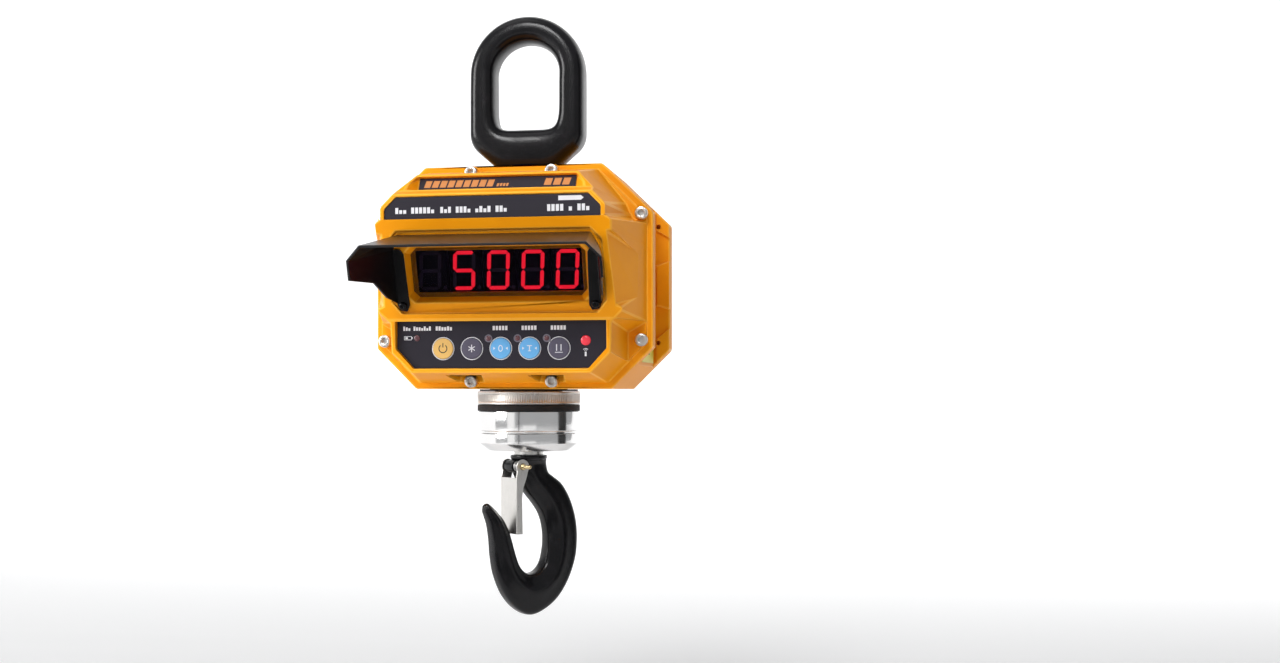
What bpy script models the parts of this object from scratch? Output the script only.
"""Crane scale: a hanging weighing scale with a fixed top ring, a cast two-part housing and a swivel hook.

Lengths are written in millimetres and turned into metres by mm(). Heights are measured from the
underside of the housing; the whole scale is then lowered so that the origin is the point where the
ring hangs, at the top of its opening. X is to the scale's left-hand side as it faces -Y, Z is up.
"""
import math

import bmesh
import bpy
import numpy as np
from mathutils import Matrix, Vector

# ---------------------------------------------------------------- driving dimensions (mm, degrees)
RING_SEAT_Z = 284.0          # top of the ring's opening above the housing's underside
HOUSING_HALF_WIDTH = 111.3
HOUSING_TOP = 176.5
HOUSING_TOP_CHAMFER = (40.0, 39.0)
HOUSING_LOW_CHAMFER = 32.5
FLANGE_Y = -61.0             # front plane of the cover's flange
PARTING_Y = -54.0            # where cover and rear housing meet
REAR_Y = 62.0
WALL = 5.0
WAIST_X = 97.6               # side walls between the two flanges
FLANGE_BACK_Y = -46.5        # back of the front flange
LAND_Y = 42.5                # raised lands on the rear flange's front face
GAP = 0.3                    # air left between faces that touch
POCKET_Y = -63.5             # floor of the screw pockets
BAND_TILT = 20.5             # lean of the display face
BAND_Y, BAND_Z = -112.5, 61.0    # a point on the display face
NAME_TILT = 28.2             # lean of the name plate
SCREW_SPOTS = [(x, z) for z, half in ((170.8, 32.3), (136.0, 103.0), (38.0, 103.0), (6.2, 32.4))
               for x in (-half, half)]
SCREW_HEAD_R, SCREW_HEAD_H, SCREW_R, SCREW_LENGTH = 5.0, 6.0, 3.0, 16.0
DISPLAY_CENTRE = (0.0, -112.4, 89.0)
TRAY_OUT = 6.2               # from the window's face out to the floor of the hood's tray
DIGIT_PITCH = 26.8
KEY_Z = 31.0
KEY_X = (-45.4, -22.7, 0.0, 22.6, 45.3)
KEY_R = 7.9
PANEL_Y = -103.7             # front face of the keypad panel
HOOK_SWIVEL_DEG = 44.5       # how far the hook is turned at rest
LATCH_PIVOT = (-13.3, -63.4)     # across and up, in the hook's own plane
SHANK_R = 12.0
HINGE_Y, HINGE_Z = 58.4, 44.0    # axis of the battery door


def mm(*values):
    """Millimetres to a vector in metres."""
    return Vector(values) * 0.001


def band_y(z):
    """Depth of the tilted display face at height z."""
    return BAND_Y - (z - BAND_Z) * math.tan(math.radians(BAND_TILT))


# ---------------------------------------------------------------- scene and helpers
for old in list(bpy.data.objects):
    bpy.data.objects.remove(old)

PAINTS = {
    "orange_paint": ((0.89, 0.36, 0.012), 0.42, 0.0),
    "black_forging": ((0.012, 0.012, 0.014), 0.28, 0.35),
    "black_plate": ((0.022, 0.021, 0.026), 0.38, 0.0),
    "smoked_window": ((0.008, 0.005, 0.015), 0.08, 0.0),
    "red_lens": ((0.55, 0.02, 0.05), 0.25, 0.0),
    "lamp_lens": ((0.16, 0.05, 0.05), 0.3, 0.0),
    "amber_key": ((0.75, 0.45, 0.12), 0.4, 0.0),
    "blue_key": ((0.18, 0.48, 0.83), 0.4, 0.0),
    "grey_key": ((0.13, 0.12, 0.17), 0.4, 0.0),
    "black_rubber": ((0.014, 0.014, 0.015), 0.7, 0.0),
    "stainless": ((0.62, 0.6, 0.58), 0.22, 1.0),
    "polished_steel": ((0.78, 0.78, 0.78), 0.08, 1.0),
    "brass": ((0.66, 0.47, 0.2), 0.25, 1.0),
    "machined_steel": ((0.42, 0.42, 0.43), 0.35, 1.0),
    "circuit_board": ((0.01, 0.12, 0.05), 0.45, 0.0),
    "led_module": ((0.02, 0.018, 0.022), 0.4, 0.0),
    "black_moulding": ((0.018, 0.018, 0.02), 0.33, 0.0),
    "battery_case": ((0.05, 0.05, 0.06), 0.5, 0.0),
    "yellow_label": ((0.75, 0.6, 0.05), 0.4, 0.0),
    "spring_steel": ((0.3, 0.3, 0.31), 0.3, 1.0),
}


def make_material(name, colour, roughness, metallic):
    material = bpy.data.materials.new(name)
    material.use_nodes = True
    shader = material.node_tree.nodes["Principled BSDF"]
    shader.inputs["Base Color"].default_value = (*colour, 1.0)
    shader.inputs["Roughness"].default_value = roughness
    shader.inputs["Metallic"].default_value = metallic
    return material


MATERIALS = {name: make_material(name, *look) for name, look in PAINTS.items()}


def make_empty(name, location, rotation=(0.0, 0.0, 0.0), parent=None):
    empty = bpy.data.objects.new(name, None)
    bpy.context.scene.collection.objects.link(empty)
    empty.location = location
    empty.rotation_euler = rotation
    empty.parent = parent
    return empty


SCALE = make_empty("scale_frame", mm(0, 0, -RING_SEAT_Z))
HOOK_FRAME = make_empty("hook_swivel", mm(0, 0, -37), (0, 0, math.radians(HOOK_SWIVEL_DEG)), SCALE)
LATCH_FRAME = make_empty("latch_hinge", mm(LATCH_PIVOT[0], 0, LATCH_PIVOT[1] + 37), parent=HOOK_FRAME)
# On a tilted face, local X is the scale's X, local Y runs up the face and local Z points out of it.
DISPLAY_FRAME = make_empty("display_face", mm(*DISPLAY_CENTRE),
                           (math.radians(90 + BAND_TILT), 0, 0), SCALE)
KEYPAD_FRAME = make_empty("keypad_face", mm(0, PANEL_Y, 0), (math.radians(90), 0, 0), SCALE)
DOOR_FRAME = make_empty("door_hinge", mm(0, HINGE_Y, HINGE_Z), parent=SCALE)
NAME_FRAME = make_empty("name_face", mm(0, -117.0, 155.8), (math.radians(90 - NAME_TILT), 0, 0), SCALE)


def add_object(name, bm, material=None, parent=SCALE, location=(0, 0, 0), rotation=(0, 0, 0)):
    """Turns a bmesh into a named object; a piece without a material is a hidden cutter."""
    bmesh.ops.recalc_face_normals(bm, faces=bm.faces)
    mesh = bpy.data.meshes.new(name)
    bm.to_mesh(mesh)
    bm.free()
    item = bpy.data.objects.new(name, mesh)
    bpy.context.scene.collection.objects.link(item)
    item.parent = parent
    item.location = location
    item.rotation_euler = rotation
    if material is None:
        item.hide_render = True
        item.display_type = "WIRE"
    else:
        mesh.materials.append(MATERIALS[material])
    return item


def combine(item, other, operation):
    """Adds a Boolean of item with another object, which becomes a hidden tool."""
    modifier = item.modifiers.new(operation.lower(), "BOOLEAN")
    modifier.operation = operation
    modifier.solver = "EXACT"
    modifier.object = other
    other.hide_render = True
    other.display_type = "WIRE"


def cut(item, *others):
    for other in others:
        combine(item, other, "DIFFERENCE")


def join(item, *others):
    for other in others:
        combine(item, other, "UNION")


def hull_mesh(points):
    """The convex solid round a handful of corner points."""
    bm = bmesh.new()
    for point in points:
        bm.verts.new(mm(*point))
    made = bmesh.ops.convex_hull(bm, input=bm.verts)
    inside = [v for v in made["geom_interior"] if isinstance(v, bmesh.types.BMVert)]
    bmesh.ops.delete(bm, geom=inside, context="VERTS")
    bmesh.ops.dissolve_limit(bm, angle_limit=0.001, verts=bm.verts, edges=bm.edges)
    return bm


def prism_mesh(outline, low, high):
    """A flat outline in local XY, pulled up from height low to height high."""
    bm = bmesh.new()
    verts = [bm.verts.new(mm(x, y, low)) for x, y in outline]
    bottom = bm.faces.new(verts)
    pulled = bmesh.ops.extrude_face_region(bm, geom=[bottom])
    moved = [v for v in pulled["geom"] if isinstance(v, bmesh.types.BMVert)]
    bmesh.ops.translate(bm, verts=moved, vec=mm(0, 0, high - low))
    return bm


def box_mesh(low, high):
    return prism_mesh([(low[0], low[1]), (high[0], low[1]), (high[0], high[1]), (low[0], high[1])],
                      low[2], high[2])


def disc_mesh(radius, low, high, sides=24, centre=(0.0, 0.0)):
    """A round bar along local Z."""
    bm = bmesh.new()
    middle = Matrix.Translation(mm(centre[0], centre[1], (low + high) / 2))
    bmesh.ops.create_cone(bm, cap_ends=True, segments=sides, radius1=radius / 1000,
                          radius2=radius / 1000, depth=(high - low) / 1000, matrix=middle)
    return bm


def lathe_mesh(profile, sides=48):
    """A closed profile of (radius, height) corners spun about Z; radius 0 closes on the axis."""
    bm = bmesh.new()
    rings = []
    for radius, height in profile:
        if radius == 0:
            rings.append([bm.verts.new(mm(0, 0, height))])
            continue
        turn = [2 * math.pi * i / sides for i in range(sides)]
        rings.append([bm.verts.new(mm(radius * math.cos(a), radius * math.sin(a), height)) for a in turn])
    for first, second in zip(rings, rings[1:] + rings[:1]):
        if len(first) == 1 and len(second) == 1:
            continue
        for i in range(sides):
            j = (i + 1) % sides
            corners = [first[i % len(first)], first[j % len(first)],
                       second[j % len(second)], second[i % len(second)]]
            bm.faces.new(list(dict.fromkeys(corners)))
    return bm


def skin_mesh(rows, closed_rows=False):
    """A tube through rows of points; each end is closed by one flat face unless the rows form a ring."""
    bm = bmesh.new()
    grid = [[bm.verts.new(mm(*point)) for point in row] for row in rows]
    count = len(grid[0])
    pairs = list(zip(grid, grid[1:]))
    if closed_rows:
        pairs.append((grid[-1], grid[0]))
    for first, second in pairs:
        for i in range(count):
            j = (i + 1) % count
            bm.faces.new((first[i], first[j], second[j], second[i]))
    if not closed_rows:
        bm.faces.new(list(reversed(grid[0])))
        bm.faces.new(grid[-1])
    return bm


def octagon(inset=0.0):
    """The housing's outline (x, z), moved inwards by inset; it turns round from the top left corner."""
    across, down = HOUSING_TOP_CHAMFER
    shift = inset * math.tan(math.radians(22.5))
    wide = HOUSING_HALF_WIDTH - inset
    half = [(HOUSING_HALF_WIDTH - across - shift, HOUSING_TOP - inset),
            (wide, HOUSING_TOP - down - shift), (wide, HOUSING_LOW_CHAMFER + shift),
            (HOUSING_HALF_WIDTH - HOUSING_LOW_CHAMFER - shift, inset)]
    return [(-x, z) for x, z in half] + list(reversed(half))


def inside_outline():
    """The hollow's outline (x, z): a wall inside the octagon, cut off a wall inside the waist."""
    outer = octagon(WALL)
    wide = WAIST_X - WALL
    (x0, z0), (x1, z1), (x2, z2), (x3, z3) = outer[7], outer[6], outer[5], outer[4]
    top = z0 + (z1 - z0) * (wide - x0) / (x1 - x0)
    low = z3 + (z2 - z3) * (wide - x3) / (x2 - x3)
    half = [(x0, z0), (wide, top), (wide, low), (x3, z3)]
    return [(-x, z) for x, z in half] + list(reversed(half))


def upright(outline, y_low, y_high):
    """An (x, z) outline pulled along Y, in the scale's own axes."""
    bm = prism_mesh(outline, -y_high, -y_low)
    bmesh.ops.rotate(bm, verts=bm.verts, matrix=Matrix.Rotation(math.radians(90), 3, "X"))
    return bm


def y_bar(name, radius, x, z, y_low, y_high, material=None, sides=24, parent=SCALE):
    """A round bar along Y."""
    bm = disc_mesh(radius, -y_high, -y_low, sides)
    bmesh.ops.rotate(bm, verts=bm.verts, matrix=Matrix.Rotation(math.radians(90), 3, "X"))
    return add_object(name, bm, material, parent, mm(x, 0, z))


def x_bar(name, radius, x_low, x_high, material=None, parent=SCALE, location=(0, 0, 0), sides=16):
    """A round bar along X."""
    bm = disc_mesh(radius, x_low, x_high, sides)
    bmesh.ops.rotate(bm, verts=bm.verts, matrix=Matrix.Rotation(math.radians(90), 3, "Y"))
    return add_object(name, bm, material, parent, location)


# ---------------------------------------------------------------- front cover
# Corners of the casting's right half, named from the top down. "foot" is the line where the walls rise
# from the flange, and "plate", "wide", "side" and "panel" are the raised frames round what they carry.
COVER_CORNERS = {
    "foot_top": (67.6, FLANGE_Y, 172.0),
    "foot_chamfer": (97.5, FLANGE_Y, 142.9),
    "foot_upper": (106.5, FLANGE_Y, 134.1),
    "foot_pocket": (106.5, FLANGE_Y, 128.8),
    "foot_boss_top": (106.5, FLANGE_Y, 111.7),
    "foot_boss_low": (106.5, FLANGE_Y, 66.5),
    "foot_diamond": (106.5, FLANGE_Y, 52.5),
    "foot_lower": (106.5, FLANGE_Y, 36.2),
    "foot_corner": (91.9, FLANGE_Y, 21.6),
    "foot_low": (75.3, FLANGE_Y, 5.0),
    "name_top": (62.5, -116.5, 163.5),
    "name_back": (64.1, -98.0, 166.3),
    "name_low": (76.0, -129.5, 149.5),
    "plate_top": (76.5, -137.5, 146.3),
    "plate_corner": (86.0, -137.5, 136.8),
    "plate_low": (86.0, -137.5, 127.9),
    "wide_top": (90.4, band_y(124.9), 124.9),
    "wide_low": (90.2, band_y(117.4), 117.4),
    "side_top": (86.3, band_y(116.3), 116.3),
    "side_low": (90.2, band_y(63.3), 63.3),
    "horn_top": (94.9, band_y(61.4), 61.4),
    "horn_low": (94.6, band_y(58.8), 58.8),
    "panel_bend": (88.4, -109.5, 53.0),
    "panel_top": (86.3, -109.4, 51.0),
    "panel_corner": (85.5, -107.6, 27.8),
    "panel_low": (70.0, -106.5, 12.3),
    "boss_top": (101.0, -87.0, 106.0),
    "boss_low": (101.0, -87.0, 69.5),
    "upper_in": (90.0, POCKET_Y, 144.2),
    "upper_mid": (94.0, POCKET_Y, 135.3),
    "upper_low": (96.3, POCKET_Y, 131.0),
    "upper_chamfer": (97.5, POCKET_Y, 142.9),
    "upper_corner": (106.5, POCKET_Y, 134.1),
    "upper_out": (106.5, POCKET_Y, 128.8),
    "lower_in": (91.9, POCKET_Y, 44.3),
    "lower_out": (106.5, POCKET_Y, 52.5),
    "lower_edge": (106.5, POCKET_Y, 36.2),
    "lower_corner": (91.9, POCKET_Y, 21.6),
}
# Facets of the right half; the left half is their mirror image.
COVER_FACETS = [
    ("name_top", "name_low", "name_back"),
    ("name_back", "name_low", "plate_top", "plate_corner", "upper_in", "foot_top"),
    ("foot_top", "upper_in", "upper_chamfer", "foot_chamfer"),
    ("plate_corner", "plate_low", "upper_mid", "upper_in"),
    ("plate_low", "wide_top", "upper_low", "upper_mid"),
    ("upper_in", "upper_mid", "upper_low", "upper_out", "upper_corner", "upper_chamfer"),
    ("upper_chamfer", "upper_corner", "foot_upper", "foot_chamfer"),
    ("upper_corner", "upper_out", "foot_pocket", "foot_upper"),
    ("wide_top", "wide_low", "foot_boss_top", "foot_pocket", "upper_out", "upper_low"),
    ("wide_low", "side_top", "boss_top", "foot_boss_top"),
    ("side_top", "side_low", "boss_low", "boss_top"),
    ("boss_top", "boss_low", "foot_boss_low", "foot_boss_top"),
    ("side_low", "horn_top", "foot_boss_low", "boss_low"),
    ("horn_top", "horn_low", "foot_diamond", "foot_boss_low"),
    ("horn_low", "panel_bend", "panel_top", "lower_in", "lower_out", "foot_diamond"),
    ("lower_in", "lower_corner", "lower_edge", "lower_out"),
    ("lower_out", "lower_edge", "foot_lower", "foot_diamond"),
    ("lower_edge", "lower_corner", "foot_corner", "foot_lower"),
    ("panel_top", "panel_corner", "lower_corner", "lower_in"),
    ("panel_corner", "panel_low", "foot_low", "foot_corner", "lower_corner"),
]
# Facets that cross the centre plane, given by their right-hand corners from top to bottom.
COVER_FRONT = [
    ("foot_top", "name_back", "name_top"),
    ("name_top", "name_low"),
    ("name_low", "plate_top"),
    ("plate_top", "plate_corner", "plate_low"),
    ("plate_low", "wide_top", "wide_low", "side_top", "side_low", "horn_top", "horn_low", "panel_bend"),
    ("panel_bend", "panel_top", "panel_corner", "panel_low"),
    ("panel_low", "foot_low"),
]
FOOT_LINE = ["foot_top", "foot_chamfer", "foot_upper", "foot_pocket", "foot_boss_top", "foot_boss_low",
             "foot_diamond", "foot_lower", "foot_corner", "foot_low"]


def cover_skin():
    """The cover's outside as one closed casting, still without its recesses and its hollow."""
    bm = bmesh.new()
    verts = {}
    for side in (1, -1):
        for name, (x, y, z) in COVER_CORNERS.items():
            verts[name, side] = bm.verts.new(mm(side * x, y, z))
    for names in COVER_FACETS:
        for side in (1, -1):
            bm.faces.new([verts[name, side] for name in names])
    for names in COVER_FRONT:
        bm.faces.new([verts[name, 1] for name in names] + [verts[name, -1] for name in reversed(names)])
    outline = octagon()
    front = [bm.verts.new(mm(x, FLANGE_Y, z)) for x, z in outline]
    back = [bm.verts.new(mm(x, PARTING_Y, z)) for x, z in outline]
    bm.faces.new(back)
    for i in range(len(outline)):
        j = (i + 1) % len(outline)
        bm.faces.new((front[i], front[j], back[j], back[i]))
    for side, corner in ((-1, front[:4]), (1, list(reversed(front[4:])))):
        foot = [verts[name, side] for name in FOOT_LINE]
        bm.faces.new([corner[0], corner[1]] + [foot[2], foot[1], foot[0]])
        bm.faces.new([corner[1], corner[2]] + foot[7:1:-1])
        bm.faces.new([corner[2], corner[3]] + [foot[9], foot[8], foot[7]])
    left_top, right_top = verts["foot_top", -1], verts["foot_top", 1]
    left_low, right_low = verts["foot_low", -1], verts["foot_low", 1]
    bm.faces.new((front[0], front[7], right_top, left_top))
    bm.faces.new((front[3], front[4], right_low, left_low))
    return bm


WINDOW_OUTLINE = [(-63.0, 19.4), (-67.6, 14.7), (-67.6, -14.7), (-63.0, -19.4),
                  (63.0, -19.4), (67.6, -14.7), (67.6, 14.7), (63.0, 19.4)]
PANEL_OUTLINE = [(-82.0, 52.3), (-82.0, 31.0), (-68.2, 16.0), (68.2, 16.0), (82.0, 31.0), (82.0, 52.3)]
RATING_OUTLINE = [(-73.4, 144.0), (-82.5, 135.5), (-82.5, 127.8),
                  (82.5, 127.8), (82.5, 135.5), (73.4, 144.0)]
HOOD_POCKET = [(-74.6, 118.9), (-82.3, 110.8), (-83.3, 67.0), (-75.5, 57.7),
               (75.5, 57.7), (83.3, 67.0), (82.3, 110.8), (74.6, 118.9)]


def grow(outline, amount):
    """The same outline with every corner pushed away from the outline's middle by amount."""
    middle_y = (max(y for _, y in outline) + min(y for _, y in outline)) / 2
    return [(x + math.copysign(amount, x), y + math.copysign(amount, y - middle_y)) for x, y in outline]


def on_display(x, z, out):
    """A point at height z that lies out millimetres in front of the window's face, in the scale's axes."""
    tilt = math.radians(BAND_TILT)
    up = (z - DISPLAY_CENTRE[2] + out * math.sin(tilt)) / math.cos(tilt)
    return (x, DISPLAY_CENTRE[1] - up * math.sin(tilt) - out * math.cos(tilt), z)


def hood_pocket_cutter():
    """The shallow tray round the window in which the sun hood sits."""
    floor = [on_display(x, z, TRAY_OUT) for x, z in HOOD_POCKET]
    mouth = [on_display(x, z, 26.0) for x, z in grow(HOOD_POCKET, 0.8)]
    return add_object("hood_pocket_cutter", hull_mesh(floor + mouth))


def bezel_cutter():
    """A funnel from the tray down to the window."""
    low = [(x, y, -0.6) for x, y in grow(WINDOW_OUTLINE, -0.4)]
    high = [(x, y, 8.0) for x, y in grow(WINDOW_OUTLINE, 3.4)]
    return add_object("bezel_cutter", hull_mesh(low + high), parent=DISPLAY_FRAME)


def name_pocket_cutter():
    tilt = math.radians(NAME_TILT)
    up, out = Vector((0, math.sin(tilt), math.cos(tilt))), Vector((0, -math.cos(tilt), math.sin(tilt)))
    middle = Vector((0, -117.0, 155.8))
    floor = [middle + up * u - out * 1.5 + Vector((x, 0, 0)) for u in (-5.9, 5.9) for x in (-61.2, 61.2)]
    mouth = [(x, -135.0, 150.4) for x in (-73.5, 73.5)] + [(x, -119.5, 162.3) for x in (-62.3, 62.3)]
    return add_object("name_pocket_cutter", hull_mesh([tuple(p) for p in floor] + mouth))


def screw_pocket_cutter(index, x, z):
    """Wedges above and below the console that give a screwdriver a straight way to the screws."""
    if abs(x) > 60:
        bm = disc_mesh(5.9, 0, 90, 20)
        bmesh.ops.rotate(bm, verts=bm.verts, matrix=Matrix.Rotation(math.radians(90), 3, "X"))
        return add_object(f"screw_pocket_{index}", bm, location=mm(x, POCKET_Y, z))
    if z > 100:
        floor = [(x + a, POCKET_Y, h) for a in (-9.5, 9.5) for h in (164.6, 182.0)]
        mouth = [(x + a, -97.0, h) for a in (-14.0, 14.0) for h in (167.0, 182.0)]
    else:
        floor = [(x + a, POCKET_Y, h) for a in (-9.5, 9.5) for h in (-4.0, 12.0)]
        mouth = [(x + a, -98.0, h) for a in (-15.0, 15.0) for h in (-4.0, 10.6)]
    return add_object(f"screw_pocket_{index}", hull_mesh(floor + mouth))


def front_cover():
    cover = add_object("front_cover", cover_skin(), "orange_paint")
    cut(cover, hood_pocket_cutter(), bezel_cutter(), name_pocket_cutter())
    cut(cover, add_object("rating_cutter", upright(grow(RATING_OUTLINE, 0.35), -150, -135.0)))
    cut(cover, add_object("panel_cutter", upright(grow(PANEL_OUTLINE, 0.35), -125, PANEL_Y + 1.5)))
    cut(cover, add_object("window_seat_cutter", prism_mesh(grow(WINDOW_OUTLINE, 0.35), -2.3, 0.5),
                          parent=DISPLAY_FRAME))
    cut(cover, add_object("window_hole_cutter", box_mesh((-64.5, -16.6, -12), (64.5, 16.6, 1)),
                          parent=DISPLAY_FRAME))
    cut(cover, add_object("module_bay_cutter", box_mesh((-72, -22.5, -70), (72, 22.5, -4.3)),
                          parent=DISPLAY_FRAME))
    cut(cover, add_object("cover_hollow_cutter", upright(inside_outline(), -57.0, PARTING_Y + 1)))
    cut(cover, add_object("console_hollow_cutter", upright(
        [(-60, 160), (-78, 141), (-78, 22), (-66, 11), (66, 11), (78, 22), (78, 141), (60, 160)],
        -98.0, -50.0)))
    cut(cover, add_object("key_bay_cutter", upright([(-74, 48), (-74, 21.5), (74, 21.5), (74, 48)],
                                                    -110, -90)))
    for index, (x, z) in enumerate(SCREW_SPOTS, 1):
        cut(cover, screw_pocket_cutter(index, x, z))
        if abs(x) < 60:
            join(cover, y_bar(f"cover_boss_{index}", 5.6, x, z, POCKET_Y + 2, PARTING_Y - 0.01, sides=20))
        cut(cover, y_bar(f"cover_hole_{index}", SCREW_R + GAP, x, z, -80, PARTING_Y + 5, sides=16))
    for side in (-1, 1):
        hole = disc_mesh(1.9, -6.0, 12.0, 16)
        cut(cover, add_object(f"hood_hole_{side + 1}", hole, parent=DISPLAY_FRAME,
                              location=mm(side * HOOD_SCREW[0], HOOD_SCREW[1], 0)))
    return cover


HOOD_SCREW = (74.9, -23.6)       # across and up the tilted face, from the window's middle


# ---------------------------------------------------------------- rear housing
DOOR = (-46.0, 46.0, 40.0, 134.0)    # door in the rear wall: x and z limits
BAY = (-42.0, 42.0, 52.5, 114.0)     # inside of the battery bay behind the door
KNOB_SPOTS = [(-33.0, 125.0), (33.0, 125.0)]
CELL_SEAT_Z = 13.7               # raised seat under the load cell's flange
LAND_HOLES = [(102.0, 38.8), (102.0, 136.0)]
LAND_EDGE_X = 100.6              # inner edge of the raised lands
LAND_STEP = 3.6                  # how far the lands stand out of the flange
# Sunk stretches between the lands, as (x, z) corners; their ends slope like the cover's own facets.
LAND_GAPS = [
    [(97.2, 133.0), (LAND_EDGE_X, 133.0), (114.0, 125.0), (114.0, 108.5), (LAND_EDGE_X, 104.0),
     (97.2, 104.0)],
    [(97.2, 69.6), (LAND_EDGE_X, 69.6), (114.0, 66.0), (114.0, 53.4), (LAND_EDGE_X, 41.8), (97.2, 41.8)],
]


def side_recesses(housing):
    """Cuts the waist between the flanges and the sunk stretches of the rear flange, on both sides."""
    for side in (-1, 1):
        low, high = sorted((side * WAIST_X, side * 120.0))
        cut(housing, add_object(f"waist_cutter_{side + 1}",
                                box_mesh((low, FLANGE_BACK_Y, -10), (high, LAND_Y, 190))))
        edge = [(side * x, z) for x, z in ((97.4, 5.0), (LAND_EDGE_X, 5.0), (LAND_EDGE_X, 165.0),
                                           (97.4, 165.0))]
        cut(housing, add_object(f"land_edge_cutter_{side + 1}",
                                upright(edge, LAND_Y - 1, LAND_Y + LAND_STEP - 0.6)))
        for index, corners in enumerate(LAND_GAPS):
            gap = upright([(side * x, z) for x, z in corners], LAND_Y - 1.4, LAND_Y + LAND_STEP)
            cut(housing, add_object(f"land_gap_{side + 1}_{index}", gap))
        for index, (x, z) in enumerate(LAND_HOLES):
            cut(housing, y_bar(f"land_hole_{side + 1}_{index}", 2.0, side * x, z,
                               LAND_Y - 3, LAND_Y + 9, sides=16))


def rear_housing():
    front = PARTING_Y + 2 * GAP
    housing = add_object("rear_housing", upright(octagon(), front, REAR_Y), "orange_paint")
    side_recesses(housing)
    cut(housing, add_object("rear_hollow_cutter", upright(inside_outline(), front - 5, REAR_Y - WALL)))
    join(housing, add_object("cell_seat", disc_mesh(44.0, 2.0, CELL_SEAT_Z, 40)))
    for index, (x, z) in enumerate(SCREW_SPOTS, 1):
        if abs(x) < 60:
            low, high = (2.0, z + 7.0) if z < 20 else (z - 7.0, HOUSING_TOP - 2)
            join(housing, add_object(f"rear_boss_{index}",
                                     box_mesh((x - 7, front + 0.01, low), (x + 7, -38.0, high))))
        cut(housing, y_bar(f"rear_hole_{index}", SCREW_R + GAP, x, z, front - 5, FLANGE_BACK_Y - 1, sides=16))
    groove = add_object("gasket_groove_cutter", upright(octagon(1.1), front - 1, front + 2.6))
    cut(groove, add_object("gasket_groove_core", upright(octagon(2.6), front - 2, front + 4)))
    cut(housing, groove)
    cut(housing, add_object("ring_hole_cutter", disc_mesh(22.0, 160, 190, 40)))
    cut(housing, add_object("cell_hole_cutter", disc_mesh(32.6, -5, 20, 36)))
    join(housing, add_object("bay_tub", box_mesh((BAY[0] - 3, 26, BAY[2] - 3), (BAY[1] + 3, 59, BAY[3] + 3))))
    x_low, x_high, z_low, z_high = DOOR
    join(housing, add_object("hinge_trough", box_mesh((x_low - 3, REAR_Y - 11.5, z_low - 3.5),
                                                      (x_high + 3, 59, z_low + 10))))
    cut(housing, add_object("bay_cutter", box_mesh((BAY[0], 29, BAY[2]), (BAY[1], 70, BAY[3]))))
    cut(housing, add_object("door_seat_cutter", box_mesh((x_low - 0.5, REAR_Y - 3.2, z_low - 0.6),
                                                         (x_high + 0.5, 70, z_high + 0.5))))
    cut(housing, add_object("hinge_seat_cutter", box_mesh((x_low - 0.5, REAR_Y - 8.6, z_low - 0.6),
                                                          (x_high + 0.5, 70, z_low + 9))))
    for side in (-1, 1):
        ear = box_mesh((min(side * 40, side * 47.5), REAR_Y - 9, z_low - 1.5),
                       (max(side * 40, side * 47.5), REAR_Y - 0.6, z_low + 8))
        join(housing, add_object(f"hinge_ear_{side + 1}", ear))
    cut(housing, x_bar("hinge_hole_cutter", 1.5 + GAP, -45, 45, parent=DOOR_FRAME))
    for index, (x, z) in enumerate(KNOB_SPOTS):
        cut(housing, y_bar(f"knob_socket_cutter_{index}", 4.8, x, z, 52, 62))
    return housing


def cover_gasket():
    front = PARTING_Y + 2 * GAP
    gasket = add_object("cover_gasket", upright(octagon(1.3), PARTING_Y + GAP, front + 2.2), "black_rubber")
    cut(gasket, add_object("gasket_core_cutter", upright(octagon(2.3), -60, -20)))


def cover_screws():
    """Socket cap screws: a round head with a hexagonal socket on a plain shank."""
    profile = [(0, -SCREW_LENGTH), (SCREW_R, -SCREW_LENGTH), (SCREW_R, 0), (SCREW_HEAD_R, 0),
               (SCREW_HEAD_R, SCREW_HEAD_H - 0.8), (SCREW_HEAD_R - 0.8, SCREW_HEAD_H), (0, SCREW_HEAD_H)]
    for index, (x, z) in enumerate(SCREW_SPOTS, 1):
        screw = add_object(f"cover_screw_{index}", lathe_mesh(profile, 16), "stainless",
                           location=mm(x, POCKET_Y - GAP, z), rotation=(math.radians(90), 0, 0))
        socket = add_object(f"socket_cutter_{index}", disc_mesh(2.9, 3.0, 8.0, 6),
                            location=mm(x, POCKET_Y - GAP, z), rotation=(math.radians(90), 0, 0))
        cut(screw, socket)


# ---------------------------------------------------------------- plates, window, keypad
def plates():
    outline = [(-60.7, -5.5), (60.7, -5.5), (60.7, 5.5), (-60.7, 5.5)]
    add_object("name_plate", prism_mesh(outline, -1.2, 0.0), "black_plate", NAME_FRAME)
    add_object("rating_plate", upright(RATING_OUTLINE, -136.5, -135.3), "black_plate")
    add_object("side_label", box_mesh((WAIST_X + GAP, -28.0, 21.5), (WAIST_X + GAP + 0.5, 39.0, 62.0)),
               "yellow_label")


def display():
    add_object("display_window", prism_mesh(WINDOW_OUTLINE, -2.0, 0.0), "smoked_window", DISPLAY_FRAME)
    for index in range(5):
        x = 0.3 + DIGIT_PITCH * (index - 2)
        module = box_mesh((-12.8, -19.0, -12.6), (12.8, 19.0, -4.6))
        add_object(f"digit_module_{index + 1}", module, "led_module", DISPLAY_FRAME, mm(x, 0, 0))
    add_object("display_board", box_mesh((-69.5, -21, -14.6), (69.5, 21, -12.9)), "circuit_board",
               DISPLAY_FRAME)


LAMPS = {"zero_lamp": -9.7, "tare_lamp": 13.0, "hold_lamp": 35.7}
LAMP_Z = 38.7
BATTERY_LAMP = (-66.3, 39.2)
REMOTE_WINDOW = (65.8, 36.8)


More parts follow.
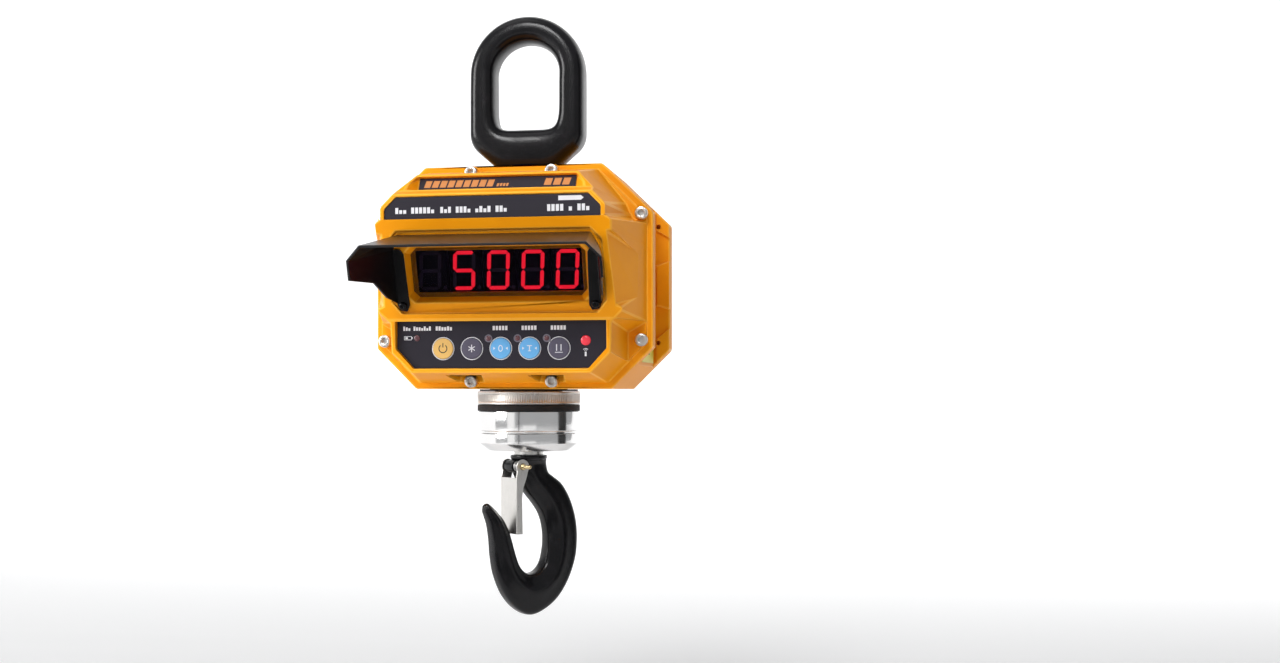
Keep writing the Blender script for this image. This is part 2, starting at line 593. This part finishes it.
def keypad():
    panel = add_object("keypad_panel", prism_mesh(PANEL_OUTLINE, -1.2, 0.0), "black_plate", KEYPAD_FRAME)
    names = ("power_key", "star_key", "zero_key", "tare_key", "hold_key")
    paints = ("amber_key", "grey_key", "blue_key", "blue_key", "grey_key")
    cap = [(0, -6.0), (3.0, -6.0), (3.0, -3.0), (KEY_R, -3.0), (KEY_R, 0.5), (KEY_R - 0.5, 0.9), (0, 0.9)]
    for name, paint, x in zip(names, paints, KEY_X):
        cut(panel, add_object(f"{name}_hole", disc_mesh(KEY_R + GAP, -5, 5, 28), parent=KEYPAD_FRAME,
                              location=mm(x, KEY_Z, 0)))
        add_object(name, lathe_mesh(cap, 24), paint, KEYPAD_FRAME, mm(x, KEY_Z, 0))
    for name, x in LAMPS.items():
        cut(panel, add_object(f"{name}_hole", disc_mesh(2.0 + GAP, -5, 5, 12), parent=KEYPAD_FRAME,
                              location=mm(x, LAMP_Z, 0)))
        add_object(name, disc_mesh(2.0, -6.5, 0.3, 12), "lamp_lens", KEYPAD_FRAME, mm(x, LAMP_Z, 0))
    for name, radius, place, paint in (("battery_lamp", 2.4, BATTERY_LAMP, "lamp_lens"),
                                       ("remote_window", 3.8, REMOTE_WINDOW, "red_lens")):
        cut(panel, add_object(f"{name}_hole", disc_mesh(radius + GAP, -5, 5, 16), parent=KEYPAD_FRAME,
                              location=mm(*place, 0)))
        add_object(name, disc_mesh(radius, -6.5, 0.3, 16), paint, KEYPAD_FRAME, mm(*place, 0))
    add_object("keypad_board", box_mesh((-73, 24.6, -9.6), (73, 47.4, -8.0)), "circuit_board", KEYPAD_FRAME)


# ---------------------------------------------------------------- sun hood
def hood_back(x, z):
    """A point of the sheet's middle where it lies on the tray's floor."""
    return on_display(x, z, TRAY_OUT + 2 * GAP + HOOD_SHEET / 2)


HOOD_SHEET = 1.8


def sun_hood():
    """Bent sheet: a sloping roof, two corner facets, two splayed sides and two tabs on the tray floor."""
    bm = bmesh.new()
    back, low, front = hood_back(79.0, 106.0), hood_back(79.6, 66.0), (92.6, -196.5, 91.9)
    normal = (Vector(low) - Vector(back)).cross(Vector(front) - Vector(back))

    def on_side(y, z):
        """A point on the flat side plate."""
        return (back[0] - (normal.y * (y - back[1]) + normal.z * (z - back[2])) / normal.x, y, z)

    sheet = {"roof_back": hood_back(74.0, 115.6), "roof_front": (82.4, -200.0, 101.9),
             "side_back": back, "side_front": front, "crease_low": low,
             "side_low": on_side(-191.0, 78.0), "side_mid": on_side(-153.0, 78.6),
             "side_curve": on_side(-130.5, 69.0),
             "tab_low_out": hood_back(77.6, 60.6), "tab_low_in": hood_back(72.0, 59.6),
             "tab_in": hood_back(69.8, 63.5), "tab_top": hood_back(70.8, 102.0),
             "tab_corner": hood_back(73.6, 106.0)}
    verts = {(name, side): bm.verts.new(mm(side * p[0], p[1], p[2]))
             for name, p in sheet.items() for side in (1, -1)}
    bm.faces.new([verts["roof_back", 1], verts["roof_front", 1], verts["roof_front", -1],
                  verts["roof_back", -1]])
    for side in (1, -1):
        for names in (("roof_back", "side_back", "side_front", "roof_front"),
                      ("side_back", "crease_low", "side_curve", "side_mid", "side_low", "side_front"),
                      ("side_back", "tab_corner", "tab_top", "tab_in", "tab_low_in", "tab_low_out",
                       "crease_low")):
            bm.faces.new([verts[name, side] for name in names])
    hood = add_object("sun_hood", bm, "black_moulding")
    sheet_metal = hood.modifiers.new("sheet", "SOLIDIFY")
    sheet_metal.thickness = HOOD_SHEET / 1000
    sheet_metal.offset = 0.0
    sheet_metal.use_even_offset = True
    sheet_metal.use_quality_normals = True
    for side, word in ((-1, "left"), (1, "right")):
        place = mm(side * HOOD_SCREW[0], HOOD_SCREW[1], 0)
        cut(hood, add_object(f"hood_clear_{word}", disc_mesh(1.9, 0, 12, 16), parent=DISPLAY_FRAME,
                             location=place))
        top = TRAY_OUT + 3 * GAP + HOOD_SHEET
        profile = [(0, 0.5), (1.6, 0.5), (1.6, top), (3.3, top), (3.1, top + 1.4), (2.2, top + 2.2),
                   (0, top + 2.3)]
        screw = add_object(f"hood_screw_{word}", lathe_mesh(profile, 16), "black_forging",
                           DISPLAY_FRAME, place)
        cut(screw, add_object(f"hood_socket_{word}", disc_mesh(1.3, top + 0.9, top + 5, 6),
                              parent=DISPLAY_FRAME, location=place))


# ---------------------------------------------------------------- suspension ring and load path
RING_HALF_WIDTH, RING_INNER_HALF, RING_DEPTH = 47.5, 26.8, 17.0
RING_ARCH_Z = 258.5          # centre height of the arch
RING_FLOOR_Z = 213.0         # bottom of the opening
RING_SHANK_R = 12.5
RING_PIN_R, RING_PIN_Z = 2.5, 145.0


def ring_inner(turn):
    """The opening's outline: a half ellipse above the arch centre and a round-cornered box below it."""
    c, s = math.cos(turn), math.sin(turn)
    if s >= 0:
        return RING_INNER_HALF * c, RING_ARCH_Z + (RING_SEAT_Z - RING_ARCH_Z) * s
    power = 2 / 7.0
    drop = RING_ARCH_Z - RING_FLOOR_Z
    return (math.copysign(RING_INNER_HALF * abs(c) ** power, c), RING_ARCH_Z - drop * abs(s) ** power)


def ring_outer(turn):
    """The outside: a half circle above, straight sides, then a taper down to the neck."""
    c, s = math.cos(turn), math.sin(turn)
    if s >= 0:
        return RING_HALF_WIDTH * c, RING_ARCH_Z + (306.8 - RING_ARCH_Z) * s
    corners = [(47.5, RING_ARCH_Z), (47.5, 206.0), (45.6, 200.5), (41.0, 195.0), (20.0, 178.3), (0.0, 178.3)]
    depth = -s / max(abs(c), 1e-9)
    for (x0, z0), (x1, z1) in zip(corners, corners[1:]):
        d0 = (RING_ARCH_Z - z0) / 58.0
        d1 = (RING_ARCH_Z - z1) / 58.0
        f0, f1 = x0 * depth - d0 * 47.5, x1 * depth - d1 * 47.5
        if f0 >= 0 >= f1 and f0 != f1:
            t = f0 / (f0 - f1)
            return math.copysign(x0 + t * (x1 - x0), c), z0 + t * (z1 - z0)
    return 0.0, 178.3


def suspension_ring():
    """A forged eye: round-cornered sections between the opening and the outside, closed round the opening."""
    rows = []
    around, section = 56, 12
    for i in range(around):
        turn = 2 * math.pi * (i + 0.5) / around
        (xi, zi), (xo, zo) = ring_inner(turn), ring_outer(turn)
        row = []
        for k in range(section):
            a = 2 * math.pi * (k + 0.5) / section
            across = math.copysign(abs(math.cos(a)) ** 0.55, math.cos(a))
            deep = math.copysign(abs(math.sin(a)) ** 0.55, math.sin(a))
            half = (1 + across) / 2
            z = zi + (zo - zi) * half
            row.append((xi + (xo - xi) * half, RING_DEPTH * deep, z))
        rows.append(row)
    ring = add_object("suspension_ring", skin_mesh(rows, closed_rows=True), "black_forging")
    join(ring, add_object("ring_shank", disc_mesh(RING_SHANK_R, 130.0, 190.0, 32)))
    cut(ring, x_bar("ring_pin_hole", RING_PIN_R + GAP, -30, 30, location=mm(0, 0, RING_PIN_Z)))


def load_cell():
    profile = [(0, -17.7), (28.0, -17.7), (28.0, 14.0), (44.0, 14.0), (44.0, 26.0), (24.0, 26.0),
               (17.0, 34.0), (17.0, 112.0), (24.0, 120.0), (24.0, 160.0), (RING_SHANK_R + GAP, 160.0),
               (RING_SHANK_R + GAP, 129.0), (0, 129.0)]
    cell = add_object("load_cell", lathe_mesh(profile, 28), "machined_steel")
    cut(cell, x_bar("cell_pin_hole", RING_PIN_R + GAP, -30, 30, location=mm(0, 0, RING_PIN_Z)))
    x_bar("ring_pin", RING_PIN_R, -23.0, 23.0, "stainless", location=mm(0, 0, RING_PIN_Z))


def seals_and_bearing():
    add_object("top_seal", lathe_mesh([(13.2, 163.0), (21.6, 163.0), (21.6, HOUSING_TOP - 1.0),
                                       (19.0, HOUSING_TOP + 1.2), (13.2, HOUSING_TOP + 1.2)], 40),
               "black_rubber")
    add_object("lower_seal", lathe_mesh([(28.4, -1.7), (40.5, -1.7), (40.5, -GAP), (32.2, -GAP),
                                         (32.2, 4.7), (28.4, 4.7)], 36), "black_rubber")
    add_object("knurled_ring", lathe_mesh([(28.4, -12.6), (41.8, -12.6), (42.3, -12.2), (42.3, -2.5),
                                           (41.8, -2.0), (28.4, -2.0)], 44), "stainless")
    add_object("body_gasket", lathe_mesh([(28.4, -18.0), (42.2, -18.0), (42.2, -12.9), (28.4, -12.9)], 44),
               "black_rubber")
    add_object("bearing_housing", lathe_mesh([(0, -18.3), (41.5, -18.3), (41.5, -33.9), (39.9, -34.4),
                                              (39.9, -36.0), (31.0, -36.0), (31.0, -22.5), (0, -22.5)], 44),
               "polished_steel")
    add_object("bearing_retainer", lathe_mesh([(13.0, -50.4), (33.0, -50.4), (41.0, -44.4), (41.0, -36.3),
                                               (28.6, -36.3), (28.6, -44.0), (13.0, -44.0)], 44),
               "polished_steel")
    add_object("thrust_bearing", lathe_mesh([(14.0, -43.7), (27.6, -43.7), (27.6, -37.6), (14.0, -37.6)], 28),
               "machined_steel")


# ---------------------------------------------------------------- hook, nut and latch
# Stations down the hook, in its own plane: inner point, outer point and half thickness. Heights
# are in the scale's axes, so the neck starts just under the collar.
HOOK_STATIONS = [
    ((-13.4, -58.8), (13.4, -58.8), 12.2),
    ((-14.0, -62.5), (14.4, -61.5), 10.3),
    ((-13.0, -69.5), (16.6, -68.5), 10.2),
    ((-8.5, -78.5), (22.0, -72.5), 10.0),
    ((-2.8, -86.2), (30.0, -78.3), 10.0),
    ((4.0, -93.8), (37.0, -88.3), 10.0),
    ((9.8, -101.5), (41.8, -99.5), 10.0),
    ((13.4, -109.8), (44.8, -111.5), 10.0),
    ((15.3, -120.5), (45.6, -125.0), 10.2),
    ((15.0, -132.0), (43.6, -141.0), 10.6),
    ((12.2, -143.5), (36.5, -158.5), 11.0),
    ((6.5, -149.8), (25.5, -173.5), 11.2),
    ((0.0, -151.8), (11.5, -183.0), 11.2),
    ((-4.5, -151.0), (-1.5, -186.4), 11.0),
    ((-9.0, -147.8), (-14.0, -180.3), 10.6),
    ((-12.6, -142.3), (-25.0, -168.5), 10.0),
    ((-15.8, -133.0), (-32.5, -152.5), 9.4),
    ((-18.8, -122.8), (-35.8, -137.5), 8.8),
    ((-21.6, -115.2), (-37.3, -122.5), 8.2),
    ((-26.4, -106.4), (-39.3, -111.0), 7.4),
    ((-32.2, -99.8), (-42.0, -103.5), 6.4),
    ((-36.4, -95.8), (-43.6, -99.6), 5.2),
    ((-39.3, -93.3), (-43.9, -95.9), 3.2),
]
HOOK_TOP = -24.0
NUT_PIN_R, NUT_PIN_Z = 2.0, 6.5      # above the hook's swivel frame


def hook_section(inner, outer, half_thickness, flat, count=16):
    """A closed section between two points of the hook's plane; flat 1 is an ellipse, smaller is squarer."""
    points = []
    for k in range(count):
        a = 2 * math.pi * (k + 0.5) / count
        across = (1 + math.copysign(abs(math.cos(a)) ** flat, math.cos(a))) / 2
        deep = math.copysign(abs(math.sin(a)) ** flat, math.sin(a)) * half_thickness
        points.append((inner[0] + (outer[0] - inner[0]) * across, deep,
                       inner[1] + (outer[1] - inner[1]) * across + 37.0))
    return points


def hook():
    """Forged hook: shank through the bearing, collar, then a body that follows the stations."""
    rows = [hook_section((-r, z), (r, z), r, 1.0) for r, z in
            ((SHANK_R - 1, HOOK_TOP), (SHANK_R, HOOK_TOP - 1), (SHANK_R, -54.2), (14.6, -54.5),
             (15.2, -55.0), (15.2, -56.6), (13.8, -57.9))]
    rows += [hook_section(inner, outer, half, 0.62) for inner, outer, half in HOOK_STATIONS]
    body = add_object("hook", skin_mesh(rows), "black_forging", HOOK_FRAME)
    pocket = disc_mesh(6.2, 3.2, 13.0, 24)
    bmesh.ops.rotate(pocket, verts=pocket.verts, matrix=Matrix.Rotation(math.radians(90), 3, "X"))
    cut(body, add_object("spring_pocket", pocket, parent=LATCH_FRAME))
    lug = disc_mesh(5.2, -9.6, 2.8, 24)
    bmesh.ops.rotate(lug, verts=lug.verts, matrix=Matrix.Rotation(math.radians(90), 3, "X"))
    join(body, add_object("latch_lug", lug, parent=LATCH_FRAME))
    hole = disc_mesh(2.5 + GAP, -20, 20, 20)
    bmesh.ops.rotate(hole, verts=hole.verts, matrix=Matrix.Rotation(math.radians(90), 3, "X"))
    cut(body, add_object("latch_hole", hole, parent=LATCH_FRAME))
    cut(body, x_bar("nut_pin_hole", NUT_PIN_R + GAP, -30, 30, None, HOOK_FRAME, mm(0, 0, NUT_PIN_Z)))
    nut = add_object("hook_nut", lathe_mesh([(SHANK_R + GAP, -0.3), (22.0, -0.3), (22.0, 13.0),
                                             (SHANK_R + GAP, 13.0)], 6), "machined_steel", HOOK_FRAME)
    cut(nut, add_object("nut_bore", disc_mesh(SHANK_R + GAP, -5, 20, 32), parent=HOOK_FRAME))
    cut(nut, x_bar("nut_cross_hole", NUT_PIN_R + GAP, -30, 30, None, HOOK_FRAME, mm(0, 0, NUT_PIN_Z)))
    x_bar("nut_pin", NUT_PIN_R, -20.0, 20.0, "stainless", HOOK_FRAME, mm(0, 0, NUT_PIN_Z))


LATCH_LENGTH = 55.0
LATCH_SHEET = 1.5
LATCH_HALF_GAP = 10.8        # from the hook's middle plane to the inside of a cheek


def latch():
    """Sheet channel: two cheeks with round eyes on the pin, joined by a web on the tip's side."""
    cheek = [(-6.2, -8.0), (-6.0, -LATCH_LENGTH), (-0.1, -LATCH_LENGTH), (-0.7, -26.0), (0.4, -17.0),
             (3.0, -10.5)]
    arc = [(6.0 * math.cos(a), 6.0 * math.sin(a)) for a in np.radians(np.arange(-30, 211, 20))]
    outline = arc + cheek
    body = None
    for side in (-1, 1):
        low, high = sorted((side * LATCH_HALF_GAP, side * (LATCH_HALF_GAP + LATCH_SHEET)))
        bm = prism_mesh(outline, -high, -low)
        bmesh.ops.rotate(bm, verts=bm.verts, matrix=Matrix.Rotation(math.radians(90), 3, "X"))
        plate = add_object("latch" if body is None else "latch_second_cheek", bm, "stainless", LATCH_FRAME)
        if body is None:
            body = plate
        else:
            join(body, plate)
    web = hull_mesh([(x + lean, y, z) for z, lean in ((-9.0, 0.0), (-LATCH_LENGTH + 0.2, 0.2))
                     for x in (-6.4, -4.9) for y in (-11.6, 11.6)])
    join(body, add_object("latch_web", web, parent=LATCH_FRAME))
    hole = disc_mesh(2.5 + GAP, -20, 20, 20)
    bmesh.ops.rotate(hole, verts=hole.verts, matrix=Matrix.Rotation(math.radians(90), 3, "X"))
    cut(body, add_object("latch_eye_cutter", hole, parent=LATCH_FRAME))
    profile = [(0, -14.2), (4.2, -14.2), (4.2, -12.7), (2.5, -12.7), (2.5, 13.4), (1.7, 13.8),
               (1.7, 19.6), (1.2, 20.0), (1.2, 20.8), (1.7, 21.2), (1.7, 22.6), (1.1, 23.3), (0, 23.3)]
    add_object("latch_pin", lathe_mesh(profile, 20), "brass", LATCH_FRAME, rotation=(math.radians(90), 0, 0))


def latch_spring():
    """Torsion spring round the pin: three turns of wire with a short leg at each end."""
    wire, radius, turns, steps, pitch, start = 0.7, 4.0, 3.5, 12, 1.55, 4.2
    path = [(radius, -start, -3.0)]
    for i in range(int(turns * steps) + 1):
        a = 2 * math.pi * i / steps
        path.append((radius * math.cos(a), -(start + pitch * i / steps), radius * math.sin(a)))
    path.append((-radius, path[-1][1], -8.0))
    rows = []
    for i, point in enumerate(path):
        before, after = path[max(i - 1, 0)], path[min(i + 1, len(path) - 1)]
        along = (Vector(after) - Vector(before)).normalized()
        side = along.cross(Vector((0, 1, 0))).normalized()
        up = side.cross(along)
        rows.append([tuple(Vector(point) + side * wire * math.cos(b) + up * wire * math.sin(b))
                     for b in np.arange(0, 2 * math.pi - 0.01, math.pi / 3)])
    add_object("latch_spring", skin_mesh(rows), "spring_steel", LATCH_FRAME)


# ---------------------------------------------------------------- electronics and battery door
def inside():
    board = upright([(-74, 20), (74, 20), (74, 148), (-74, 148)], -50.5, -48.9)
    add_object("main_board", board, "circuit_board")
    add_object("battery_pack", box_mesh((-41.0, 29.3, 52.8), (41.0, 54.0, 113.0)), "battery_case")


def battery_door():
    """Door on a barrel hinge, held shut by two quarter-turn knobs; measured from the hinge's axis."""
    x_low, x_high, z_low, z_high = DOOR
    face, top = REAR_Y - HINGE_Y, z_high - HINGE_Z
    door = add_object("battery_door", box_mesh((x_low, face - 2.6, 0), (x_high, face, top)),
                      "orange_paint", DOOR_FRAME)
    notch = ("door_notch_left", x_low - 1, -39.6), ("door_notch_right", 39.6, x_high + 1)
    for name, x_from, x_to in notch:
        cut(door, add_object(name, box_mesh((x_from, -9, -4), (x_to, 12, 5.5)), parent=DOOR_FRAME))
    join(door, x_bar("door_barrel", 3.3, -39.5, 39.5, parent=DOOR_FRAME))
    cut(door, x_bar("door_bore", 1.5 + GAP, -50, 50, parent=DOOR_FRAME))
    x_bar("door_pin", 1.5, -44.5, 44.5, "stainless", DOOR_FRAME)
    knob = [(0, -6.5), (3.0, -6.5), (3.0, GAP), (8.0, GAP), (8.0, 3.2), (7.4, 3.8), (0, 3.8)]
    for index, (x, z) in enumerate(KNOB_SPOTS, 1):
        spot = mm(x, face, z - HINGE_Z)
        turned = (math.radians(-90), 0, 0)
        cut(door, add_object(f"knob_hole_{index}", disc_mesh(3.0 + GAP, -5, 5, 20), None, DOOR_FRAME,
                             spot, turned))
        item = add_object(f"door_knob_{index}", lathe_mesh(knob, 24), "black_moulding", DOOR_FRAME,
                          spot, turned)
        cut(item, add_object(f"knob_slot_{index}", box_mesh((-6.5, -0.9, 2.4), (6.5, 0.9, 6.0)), None,
                             DOOR_FRAME, spot, turned))


front_cover()
rear_housing()
cover_gasket()
cover_screws()
plates()
display()
keypad()
sun_hood()
suspension_ring()
load_cell()
seals_and_bearing()
hook()
latch()
latch_spring()
inside()
battery_door()
